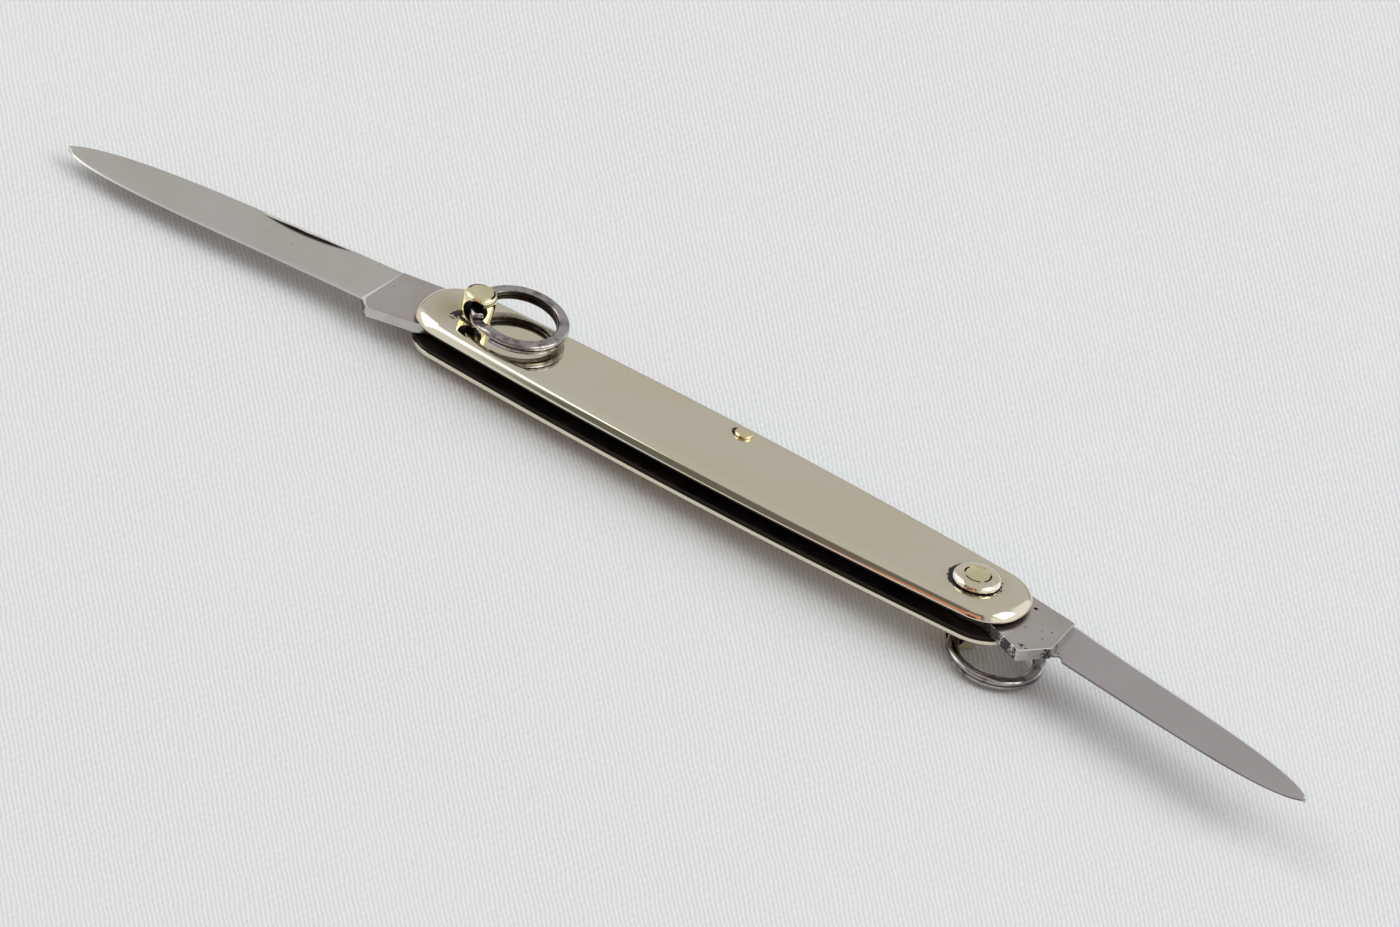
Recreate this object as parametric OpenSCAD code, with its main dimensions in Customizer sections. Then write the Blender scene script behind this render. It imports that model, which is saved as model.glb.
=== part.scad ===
// Folding pen knife with two blades, an eye post beside each pivot and a split ring in each eye.
// The origin is the middle of the handle: +X runs along it, +Y to its back and +Z out of the front scale.

/* [Handle] */
// Length of the handle from end to end
handle_l = 75; // [70:0.5:80]
// Width of the handle at its middle
handle_w = 12.2; // [11.6:0.1:13]
// Radius of the long arcs along the back and along the slot side
side_r = 540; // [450:10:700]
// Radius of the arc across each end
end_r = 7.2; // [6.5:0.1:9]
// Radius that joins a long arc to an end arc
corner_r = 4.5; // [4:0.1:4.8]
// Thickness of each scale
scale_t = 1.05; // [1:0.05:1.4]
// Height of the rounding along each scale's outer edge
scale_round = 0.9; // [0.5:0.05:0.95]
// Width of the rounding along each scale's outer edge
round_in = 1.4; // [0.8:0.05:1.5]
// Gap between the two scales, which holds the liners, the blades and the spring
slot_w = 2.4; // [2.2:0.05:2.8]
// Thickness of each liner
liner_t = 0.38; // [0.3:0.01:0.44]
// Distance from a scale's outline in to the liner's outline
liner_inset = 0.3; // [0.2:0.05:0.5]

/* [Pivots] */
// Distance from each end of the handle to its pivot
pivot_inset = 6.2; // [5.6:0.1:6.8]
// Radius of the shank that each blade turns on
shank_r = 1.4; // [1.2:0.05:1.5]
// Radial running clearance of a tang on its shank
tang_play = 0.03; // [0.02:0.01:0.06]
// Radial clearance of a shank in a scale, a liner or a collar
shank_fit = 0.01; // [0.005:0.005:0.03]

/* [Eye posts] */
// Radius of an eye post
post_r = 1.82; // [1.78:0.02:2.1]
// Height of an eye post above its scale
post_h = 3.2; // [3.15:0.05:3.6]
// Rounding of the post's top edge
post_round = 0.45; // [0.2:0.05:0.6]
// Radius of the eye
eye_r = 1.3; // [1.28:0.01:1.35]
// Height of the eye's centre above the scale
eye_h = 1.6; // [1.55:0.05:1.7]
// Angle at which the front eye is set, from facing along the handle's width
front_turn = 15; // [-20:1:20]
// Angle at which the back eye is set, from facing along the handle's width
back_turn = -9; // [-20:1:20]

/* [Collars] */
// Radius of a collar
collar_r = 2.7; // [2.3:0.05:3]
// Height of a collar beside its shank
collar_h = 0.75; // [0.6:0.05:1]
// Height of the collar's rim before its dome starts
collar_rim = 0.3; // [0.1:0.05:0.4]
// Height of the peened shank end above its collar
peen_h = 0.08; // [0.04:0.01:0.12]

/* [Centre pin] */
// Distance from the handle's middle line to the pin
pin_y = 3.75; // [3.5:0.05:4]
// Radius of the pin's shank
pin_r = 0.6; // [0.5:0.05:0.7]
// Radius of the pin's heads
pin_head_r = 0.97; // [0.85:0.01:1.1]
// Height of the pin's heads
pin_head_h = 0.45; // [0.3:0.05:0.6]

/* [Tangs and spring] */
// Side clearance between a tang or the spring and a liner
side_play = 0.02; // [0.01:0.01:0.04]
// Distance from a pivot to each flat of its tang
flat_r = 2.9; // [2.8:0.05:3.1]
// Radius of the tang between its flats, which lifts the spring in passing
cam_r = 3.15; // [3.05:0.05:3.25]
// Gap between a tang's flat or kick and the spring
seat_gap = 0.02; // [0.01:0.01:0.05]
// Distance from a pivot to the end of the spring beyond it
spring_over = 2.75; // [2.5:0.05:3]
// Distance from the handle's outline in to the back of the spring
spring_inset = 0.15; // [0.1:0.05:0.3]
// Height of the spring's boss below the centre pin
boss_drop = 1.35; // [1.2:0.05:1.6]
// Angle that a blade turns from open to closed
swing = 167; // [164:1:169]

/* [Long blade] */
// Distance from the pivot to the tip of the long blade
long_l = 48; // [44:0.1:50]
// Distance from the pivot to the long blade's plunge line
long_plunge = 10.9; // [10.6:0.1:11.4]
// Distance from the pivot to the long blade's kick
long_kick_u = 10.1; // [9.6:0.1:10.3]
// Distance of the long blade's kick below the pivot
long_kick_v = 5.45; // [5.2:0.05:5.7]
// Distance of the long blade's tip below the pivot
long_drop = 4.8; // [4.2:0.05:5.6]
// Depth of the long blade where its tang ends
long_depth = 7.05; // [6.6:0.05:7.4]

/* [Short blade] */
// Distance from the pivot to the tip of the short blade
short_l = 43.5; // [41:0.1:46]
// Distance from the pivot to the short blade's plunge line
short_plunge = 10.9; // [10.6:0.1:11.4]
// Distance from the pivot to the short blade's kick
short_kick_u = 8.8; // [8.4:0.1:9.2]
// Distance of the short blade's kick below the pivot
short_kick_v = 5.3; // [5.1:0.05:5.5]
// Distance of the short blade's tip below the pivot
short_drop = 3.55; // [3.2:0.05:4.2]
// Depth of the short blade where its tang ends
short_depth = 5.95; // [5.6:0.05:6.4]

/* [Blade sections] */
// Thickness of each blade at its spine
blade_t = 0.7; // [0.6:0.01:0.72]
// Thickness of each blade at its cutting edge
edge_t = 0.12; // [0.08:0.01:0.2]
// Gap between the two blades where they pass each other closed
blade_gap = 0.06; // [0.04:0.01:0.1]
// Height of the long blade's spine above its pivot where the tang ends
long_back = 2.94; // [2.6:0.02:3.1]
// Slope of the long blade's spine where it leaves the tang
long_spine_slope = 0.108; // [0.08:0.002:0.14]
// Slope of the long blade's cutting edge where it leaves the tang
long_edge_slope = 0.061; // [0.04:0.001:0.1]
// Height of the short blade's spine above its pivot where the tang ends
short_back = 4.1; // [3.8:0.02:4.3]
// Slope of the short blade's spine where it leaves the tang
short_spine_slope = 0.19; // [0.14:0.005:0.22]
// Slope of the short blade's cutting edge where it leaves the tang
short_edge_slope = 0.129; // [0.1:0.001:0.15]
// Length of the nail nick along the spine
nick_l = 11.5; // [9:0.5:13]
// Width of the nail nick
nick_w = 0.6; // [0.4:0.05:0.8]
// Depth of the nail nick
nick_d = 0.3; // [0.2:0.02:0.36]

/* [Split rings] */
// Outer diameter of a split ring
ring_d = 10.6; // [10.2:0.1:11.2]
// Width of the ring's wire, from the inside of the ring to the outside
wire_w = 1.05; // [0.95:0.05:1.1]
// Height of one turn of wire
wire_h = 0.6; // [0.56:0.02:0.66]
// Gap between the two turns
turn_gap = 0.42; // [0.42:0.01:0.46]
// Tilt of each ring about the handle's length
ring_roll = 3; // [1:0.5:3.5]
// Angle by which the front ring's far side hangs towards the front scale
front_droop = 2.2; // [1:0.1:2.4]
// Angle by which the back ring's far side hangs below its eye
back_droop = 5; // [3:0.5:6]

/* [Hidden] */
$fn = 64;

pale_gold = [0.76, 0.71, 0.60];
steel = [0.63, 0.61, 0.60];
dark_liner = [0.16, 0.15, 0.14];
wire_grey = [0.45, 0.44, 0.45];

// Heights measured from the middle plane of the slot
face_z = slot_w / 2 + scale_t;
bed_z = slot_w / 2 - liner_t;
tang_t = 2 * (bed_z - side_play);
pivot_x = handle_l / 2 - pivot_inset;
eye_z = face_z + eye_h;
cut = 1;

// Points along an arc from angle a to angle b
function arc(c, r, a, b, n) =
    [for (i = [0:n]) c + r * [cos(a + (b - a) * i / n), sin(a + (b - a) * i / n)]];

// Point on a cubic curve with two guide points
function on_curve(p, t) =
    pow(1 - t, 3) * p[0] + 3 * t * pow(1 - t, 2) * p[1] + 3 * t * t * (1 - t) * p[2] + pow(t, 3) * p[3];

// A point turned clockwise by an angle about the origin
function turned(p, a) = [p.x * cos(a) + p.y * sin(a), p.y * cos(a) - p.x * sin(a)];

// Centres of the arcs that make up one quarter of the handle's outline
side_c = [0, handle_w / 2 - side_r];
end_c = [handle_l / 2 - end_r, 0];
between = end_c - side_c;
along = (pow(side_r - corner_r, 2) - pow(end_r - corner_r, 2) + pow(norm(between), 2)) / (2 * norm(between));
across = sqrt(pow(side_r - corner_r, 2) - along * along);
corner_c = side_c + (along * between + across * [between.y, -between.x]) / norm(between);
side_a = atan2(corner_c.y - side_c.y, corner_c.x - side_c.x);
end_a = atan2(corner_c.y - end_c.y, corner_c.x - end_c.x);

// One quarter of the outline, from the middle of the back to the tip of the right end
function quarter(inset) = concat(
    arc(side_c, side_r - inset, 90, side_a, 9),
    arc(corner_c, corner_r - inset, side_a, end_a, 9),
    arc(end_c, end_r - inset, end_a, 0, 4)
);
function flipped(points, x, y) = [for (p = points) [p.x * x, p.y * y]];
function backwards(points) = [for (i = [len(points) - 1:-1:0]) points[i]];
function outline(inset) = concat(
    quarter(inset), backwards(flipped(quarter(inset), 1, -1)),
    flipped(quarter(inset), -1, -1), backwards(flipped(quarter(inset), -1, 1))
);

// Height of the handle's back above the middle line, at a distance x from the middle
function back_y(x, inset) = side_c.y + sqrt(pow(side_r - inset, 2) - x * x);

// Holes for both pivots and the centre pin, through everything
module rivet_holes(pivot_hole_r, pin_hole_r) {
    for (side = [-1, 1]) {
        translate([side * pivot_x, 0, -cut]) cylinder(r = pivot_hole_r, h = slot_w + 2 * cut);
    }
    translate([0, pin_y, -cut]) cylinder(r = pin_hole_r, h = slot_w + 2 * cut);
}

// A scale lying on z = 0 with its outer edge rounded
module scale_plate() {
    difference() {
        hull() {
            linear_extrude(scale_t - scale_round) polygon(outline(0));
            for (a = [15:15:90]) {
                translate([0, 0, scale_t - scale_round])
                    linear_extrude(scale_round * sin(a)) polygon(outline(round_in * (1 - cos(a))));
            }
        }
        rivet_holes(shank_r + shank_fit, pin_r + shank_fit);
    }
}

module liner_plate() {
    difference() {
        linear_extrude(liner_t) polygon(outline(liner_inset));
        rivet_holes(shank_r + shank_fit, pin_r + shank_fit);
    }
}

module front_scale() {
    color(pale_gold) translate([0, 0, slot_w / 2]) scale_plate();
}

module back_scale() {
    color(pale_gold) rotate([180, 0, 0]) translate([0, 0, slot_w / 2]) mirror([0, 1, 0]) scale_plate();
}

module front_liner() {
    color(dark_liner) translate([0, 0, bed_z]) liner_plate();
}

module back_liner() {
    color(dark_liner) translate([0, 0, -bed_z - liner_t]) liner_plate();
}

// Corners of the kicks and of the lips where the tangs leave the handle, from their pivots, blades open
long_kick = [long_kick_u, -long_kick_v];
short_kick = [short_kick_u, -short_kick_v];
long_lip = [4.7, -3.9];
short_lip = [4.6, -3.5];

// Heights of the spring's underside where the closed kicks come to rest
long_seat = turned(long_kick, swing).y + seat_gap;
short_seat = turned(short_kick, swing).y + seat_gap;
spring_end = pivot_x + spring_over;
pad_in = pivot_x - spring_over;
pad_y = flat_r + seat_gap;

// Lengths along the spring: the ramp from a pad to its kick's seat, and half of the boss at tip and foot
ramp = 2;
boss_half = 3.5;
boss_foot = 8.5;
spring_steps = 14;

module back_spring() {
    back = [for (i = [-spring_steps:spring_steps]) let (x = spring_end * i / spring_steps)
        [x, back_y(x, spring_inset)]];
    under = [
        [spring_end, pad_y], [pad_in, pad_y], [pad_in - ramp, short_seat], [boss_foot, short_seat],
        [boss_half, pin_y - boss_drop], [-boss_half, pin_y - boss_drop],
        [-boss_foot, long_seat], [-pad_in + ramp, long_seat], [-pad_in, pad_y], [-spring_end, pad_y]
    ];
    color(steel) difference() {
        translate([0, 0, -tang_t / 2]) linear_extrude(tang_t) polygon(concat(back, under));
        translate([0, pin_y, -slot_w]) cylinder(r = pin_r + shank_fit, h = 2 * slot_w);
    }
}

// Profile of a dome that rises from its rim to its inner radius
function dome(inner, outer, rim, top) = [for (a = [0:11.25:90])
    [inner + (outer - inner) * cos(a), rim + (top - rim) * sin(a)]];

pin_flat = 0.6;
module pin_head() {
    rotate_extrude() polygon(concat(
        [[0, 0], [pin_head_r, 0]], dome(pin_flat, pin_head_r, pin_head_h / 2, pin_head_h), [[0, pin_head_h]]
    ));
}

module centre_pin() {
    color(pale_gold) translate([0, pin_y, 0]) {
        translate([0, 0, -face_z]) cylinder(r = pin_r, h = 2 * face_z);
        translate([0, 0, face_z]) pin_head();
        mirror([0, 0, 1]) translate([0, 0, face_z]) pin_head();
    }
}

// An eye post on the front scale, with its shank down to a peened end under the far collar
peen_flat_r = 0.84;
module eye_stud() {
    top = face_z + post_h;
    rounded = arc([post_r - post_round, top - post_round], post_round, 0, 90, 6);
    peen_z = -face_z - collar_h;
    difference() {
        rotate_extrude() polygon(concat(
            [[0, peen_z - peen_h], [peen_flat_r, peen_z - peen_h], [shank_r, peen_z]],
            [[shank_r, face_z], [post_r, face_z]], rounded, [[0, top]]
        ));
        translate([0, post_r + cut, eye_z]) rotate([90, 0, 0]) cylinder(r = eye_r, h = 2 * (post_r + cut));
    }
}

module front_eye_stud() {
    color(pale_gold) translate([-pivot_x, 0, 0]) rotate([0, 0, front_turn]) eye_stud();
}

module back_eye_stud() {
    color(pale_gold) translate([pivot_x, 0, 0]) rotate([180, 0, back_turn]) eye_stud();
}

// A domed collar standing on z = 0 round a shank
module collar() {
    inner = shank_r + shank_fit;
    profile = concat([[inner, 0], [collar_r, 0]], dome(inner, collar_r, collar_rim, collar_h));
    rotate_extrude() polygon(profile);
}

module front_collar() {
    color(pale_gold) translate([pivot_x, 0, face_z]) collar();
}

module back_collar() {
    color(pale_gold) translate([-pivot_x, 0, -face_z]) rotate([180, 0, 0]) collar();
}

// Outline of a tang round its pivot with the blade open along +X. Its near side drops to the kick and
// then steps back to the heel of the cutting edge.
shoulder_gap = 0.05;
shoulder_u = spring_over + shoulder_gap;
step_in = [3.3, -2.95];
function cam(from, to) = arc([0, 0], cam_r, from, to, 12);
flat_half = acos(flat_r / cam_r);
closed_a = 90 + swing;
function tang(kick, lip, plunge, spine_v, heel_v) = concat(
    [[plunge, spine_v], [shoulder_u, back_y(pivot_x + shoulder_u, spring_inset)], [shoulder_u, flat_r]],
    cam(90 + flat_half, closed_a - flat_half),
    [cam_r * [cos(closed_a + flat_half), sin(closed_a + flat_half)]],
    [step_in, lip, kick, [plunge, heel_v]]
);

// A ground blade: a wedge that tapers from its spine to its cutting edge, from low at the spine's underside
module wedge(spine, edge, low, steps) {
    mid = low + blade_t / 2;
    rows = [for (i = [0:steps]) let (t = i / steps, s = on_curve(spine, t), e = on_curve(edge, t)) each [
        [s.x, s.y, low], [s.x, s.y, low + blade_t],
        [e.x, e.y, mid + edge_t / 2], [e.x, e.y, mid - edge_t / 2]
    ]];
    last = steps * 4;
    sides = [for (i = [0:steps - 1], k = [0:3]) let (a = 4 * i + k, b = 4 * i + (k + 1) % 4)
        each [[a, b + 4, b], [a, a + 4, b + 4]]];
    ends = [[0, 1, 2], [0, 2, 3], [last, last + 2, last + 1], [last, last + 3, last + 2]];
    polyhedron(points = rows, faces = concat(sides, ends), convexity = 4);
}

module tang_bore() {
    translate([0, 0, -slot_w]) cylinder(r = shank_r + tang_play, h = 2 * slot_w);
}

// A blade's four guide points along its spine and along its edge, from the root inside its tang to its tip.
// The two in the middle stand at shares of the blade's length: lead and belly from the root, the others
// from the tip.
root_in = 0.6;
blunt = [0.2, 0.2];
lead = 0.36;
belly = 0.34;
point_back = 0.087;
edge_back = 0.072;
edge_sag = 0.074;
curve_steps = 28;
function root_u(plunge) = plunge - root_in;
function spine_curve(l, drop, plunge, back, slope, point_v) = [
    [root_u(plunge), back], [root_u(plunge) + lead * l, back - slope * lead * l],
    [l - point_back * l, point_v], [l, -drop]
];
function edge_curve(l, drop, plunge, heel, slope) = [
    [root_u(plunge), heel], [root_u(plunge) + belly * l, heel - slope * belly * l],
    [l - edge_back * l, -drop - edge_sag * l], [l - blunt.x, -drop - blunt.y]
];

// The long blade lies in the front half of the slot
long_low = blade_gap / 2;
long_heel = long_back - long_depth;
long_point_v = -0.35;
corner_lap = 0.1;
module long_blade_open() {
    spine = spine_curve(long_l, long_drop, long_plunge, long_back, long_spine_slope, long_point_v);
    edge = edge_curve(long_l, long_drop, long_plunge, long_heel, long_edge_slope);
    nick_at = 0.265;
    step = 0.01;
    nick = on_curve(spine, nick_at) - [0, nick_w];
    slope = on_curve(spine, nick_at + step) - on_curve(spine, nick_at);
    difference() {
        union() {
            translate([0, 0, -tang_t / 2]) linear_extrude(tang_t) polygon(
                tang(long_kick, long_lip, long_plunge, long_back + corner_lap, long_heel - corner_lap)
            );
            wedge(spine, edge, long_low, curve_steps);
        }
        tang_bore();
        translate([nick.x, nick.y, long_low + blade_t]) rotate([90, 0, atan2(slope.y, slope.x)])
            linear_extrude(nick_w, center = true) polygon([
                [-nick_l / 2, nick_d], [-nick_l / 2, 0], [-nick_l / 5, -nick_d], [nick_l / 5, -nick_d],
                [nick_l / 2, 0], [nick_l / 2, nick_d]
            ]);
    }
}

module long_blade() {
    color(steel) translate([-pivot_x, 0, 0]) mirror([1, 0, 0]) long_blade_open();
}

// The short blade lies in the back half of the slot
short_low = -blade_gap / 2 - blade_t;
short_heel = short_back - short_depth;
short_point_v = 0.05;
module short_blade_open() {
    spine = spine_curve(short_l, short_drop, short_plunge, short_back, short_spine_slope, short_point_v);
    edge = edge_curve(short_l, short_drop, short_plunge, short_heel, short_edge_slope);
    difference() {
        union() {
            translate([0, 0, -tang_t / 2]) linear_extrude(tang_t) polygon(
                tang(short_kick, short_lip, short_plunge, short_back + corner_lap, short_heel - corner_lap)
            );
            wedge(spine, edge, short_low, curve_steps);
        }
        tang_bore();
    }
}

module short_blade() {
    color(steel) translate([pivot_x, 0, 0]) short_blade_open();
}

// A split ring: one wire wound twice, which climbs from the lower turn to the upper one beside the eye
ring_r = (ring_d - wire_w) / 2;
climb_from = 214;
climb_over = 30;
wire_start = 249;
wire_end = 932;
stations = 46;
sides = 6;
turn_pitch = wire_h + turn_gap;
function eased(t) = t * t * (3 - 2 * t);
function climbed(a) = eased(min(1, max(0, (a - climb_from - 360) / climb_over)));
function wire_point(i, k) =
    let (a = wire_start + (wire_end - wire_start) * i / (stations - 1))
    let (r = ring_r + wire_w / 2 * cos(360 * k / sides))
    let (z = turn_pitch * (climbed(a) - 0.5) + wire_h / 2 * sin(360 * k / sides) / sin(60))
    [r * cos(a), r * sin(a), z];
wire = [for (i = [0:stations - 1], k = [0:sides - 1]) wire_point(i, k)];
apart = 12;
least_gap = min([for (i = [0:stations - 1 - apart], j = [i + apart:stations - 1], k = [0:sides - 1],
    m = [0:sides - 1]) norm(wire[i * sides + k] - wire[j * sides + m])]);
echo(split_ring_least_gap_mm = least_gap);

module split_ring() {
    last = (stations - 1) * sides;
    walls = [for (i = [0:stations - 2], k = [0:sides - 1])
        let (a = i * sides + k, b = i * sides + (k + 1) % sides)
        each [[a, b + sides, b], [a, a + sides, b + sides]]];
    ends = [for (k = [1:sides - 2]) each [[0, k, k + 1], [last, last + k + 1, last + k]]];
    translate([ring_r - ring_sag / 2, 0, 0])
        polyhedron(points = wire, faces = concat(walls, ends), convexity = 6);
}
ring_sag = ring_r - sqrt(ring_r * ring_r - post_r * post_r);

module front_split_ring() {
    color(wire_grey) translate([-pivot_x, 0, eye_z]) rotate([0, front_droop, front_turn])
        rotate([ring_roll, 0, 0]) split_ring();
}

module back_split_ring() {
    color(wire_grey) translate([pivot_x, 0, -eye_z]) rotate([0, back_droop, back_turn])
        rotate([180 + ring_roll, 0, 0]) split_ring();
}

front_scale();
back_scale();
front_liner();
back_liner();
back_spring();
centre_pin();
front_eye_stud();
back_eye_stud();
front_collar();
back_collar();
long_blade();
short_blade();
front_split_ring();
back_split_ring();
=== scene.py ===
from math import acos, atan2, copysign, cos, hypot, pi, radians, sin, sqrt

import bmesh
import bpy
from mathutils import Matrix, Vector


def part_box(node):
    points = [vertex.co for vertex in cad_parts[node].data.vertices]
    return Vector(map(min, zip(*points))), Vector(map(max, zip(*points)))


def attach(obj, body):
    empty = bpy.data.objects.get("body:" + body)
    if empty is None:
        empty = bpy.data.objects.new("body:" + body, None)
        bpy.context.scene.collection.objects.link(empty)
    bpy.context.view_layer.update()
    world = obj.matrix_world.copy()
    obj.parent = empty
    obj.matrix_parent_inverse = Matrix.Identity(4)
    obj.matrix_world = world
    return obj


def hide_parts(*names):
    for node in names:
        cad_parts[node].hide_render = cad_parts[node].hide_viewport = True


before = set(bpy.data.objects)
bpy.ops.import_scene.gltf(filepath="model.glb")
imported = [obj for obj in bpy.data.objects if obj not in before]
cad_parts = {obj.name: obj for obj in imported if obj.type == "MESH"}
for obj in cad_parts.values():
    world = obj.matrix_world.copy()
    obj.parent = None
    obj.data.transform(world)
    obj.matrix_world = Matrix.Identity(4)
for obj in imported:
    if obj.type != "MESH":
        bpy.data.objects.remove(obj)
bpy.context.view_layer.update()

# The knife lies open with its origin in the middle of the handle: +X to the short blade, +Y to the handle's
# back, +Z out of the front scale. Sizes are in metres.
MM = 0.001

# Sizes that the frame gives
scale_low, scale_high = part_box("front_scale")
HALF_L = scale_high[0]
HALF_W = scale_high[1]
INNER_Z = scale_low[2]
FACE_Z = scale_high[2]
stud_low, stud_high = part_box("front_eye_stud")
PIVOT_X = -(stud_low[0] + stud_high[0]) / 2
POST_R = (stud_high[1] - stud_low[1]) / 2
POST_TOP = stud_high[2]
collar_low, collar_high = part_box("front_collar")
COLLAR_R = (collar_high[0] - collar_low[0]) / 2
COLLAR_H = collar_high[2] - FACE_Z
pin_low, pin_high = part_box("centre_pin")
PIN_Y = (pin_low[1] + pin_high[1]) / 2
PIN_R = (pin_high[0] - pin_low[0]) / 2
PIN_H = pin_high[2] - FACE_Z

# Sizes of the handle's outline, the shanks and the eyes, as in the part's source
SIDE_R = 540 * MM
END_R = 7.2 * MM
CORNER_R = 4.5 * MM
SHANK_R = 1.4 * MM
EYE_R = 1.3 * MM
EYE_H = 1.6 * MM
EYE_Z = FACE_Z + EYE_H


# Small helpers

# Vertices nearer than this become one
MERGE = 0.0005 * MM
# Edges that turn by less than this look smooth, in degrees
SMOOTH_TO = 32


def clamp(x):
    return max(0.0, min(1.0, x))


def eased(t):
    t = clamp(t)
    return t * t * (3 - 2 * t)


def arc(cx, cy, r, start, end, steps):
    """Points along an arc, angles in radians."""
    angles = [start + (end - start) * i / steps for i in range(steps + 1)]
    return [(cx + r * cos(a), cy + r * sin(a)) for a in angles]


def bezier(p, t):
    """A point of the curve through the first and the last of four control points."""
    k = 1 - t
    weights = (k ** 3, 3 * t * k * k, 3 * t * t * k, t ** 3)
    return (sum(w * q[0] for w, q in zip(weights, p)), sum(w * q[1] for w, q in zip(weights, p)))


def smooth_by_angle(bm):
    for f in bm.faces:
        f.smooth = True
    for e in bm.edges:
        if len(e.link_faces) == 2:
            e.smooth = e.calc_face_angle(0) < radians(SMOOTH_TO)


def piece(name, bm, body, materials, nodes, weighted=True):
    """Makes the mesh a piece that rides on a body and stands for CAD nodes."""
    bmesh.ops.remove_doubles(bm, verts=bm.verts, dist=MERGE)
    bmesh.ops.recalc_face_normals(bm, faces=bm.faces)
    smooth_by_angle(bm)
    mesh = bpy.data.meshes.new(name)
    bm.to_mesh(mesh)
    bm.free()
    obj = bpy.data.objects.new(name, mesh)
    bpy.context.scene.collection.objects.link(obj)
    for m in materials:
        mesh.materials.append(m)
    if weighted:
        modifier = obj.modifiers.new("weighted normals", "WEIGHTED_NORMAL")
        modifier.keep_sharp = True
        modifier.weight = 90
    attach(obj, body)
    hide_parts(*nodes)
    return obj


def wrapped_grid(rows, cols, place):
    """A grid whose corners are moved to place(s, t), with s and t from 0 to 1."""
    bm = bmesh.new()
    bmesh.ops.create_grid(bm, x_segments=rows, y_segments=cols, size=0.5)
    for v in bm.verts:
        v.co = Vector(place(clamp(v.co.x + 0.5), clamp(v.co.y + 0.5)))
    return bm


def turned_profile(points, steps=96):
    """A profile of (radius, height) points spun round the vertical axis."""
    bm = bmesh.new()
    verts = [bm.verts.new((r, 0, z)) for r, z in points]
    edges = [bm.edges.new(pair) for pair in zip(verts, verts[1:])]
    bmesh.ops.spin(bm, geom=verts + edges, cent=(0, 0, 0), axis=(0, 0, 1), angle=2 * pi, steps=steps,
                   use_merge=True)
    bmesh.ops.remove_doubles(bm, verts=bm.verts, dist=MERGE)
    return bm


def flip_over(bm):
    """Turns a shape half round about the line along X, so that its top becomes its bottom."""
    bmesh.ops.rotate(bm, verts=bm.verts, cent=(0, 0, 0), matrix=Matrix.Rotation(pi, 3, "X"))


def round_edges(bm, edges, offset, segments=3):
    bmesh.ops.bevel(bm, geom=edges, offset=offset, offset_type="OFFSET", segments=segments, profile=0.5,
                    affect="EDGES", material=-1)


def join(bm, other):
    """Adds the second mesh to the first one and frees it."""
    mesh = bpy.data.meshes.new("joined")
    other.to_mesh(mesh)
    other.free()
    bm.from_mesh(mesh)
    bpy.data.meshes.remove(mesh)


# Materials

def new_material(name):
    m = bpy.data.materials.new(name)
    m.use_nodes = True
    m.node_tree.nodes.clear()
    return m, Nodes(m.node_tree)


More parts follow.
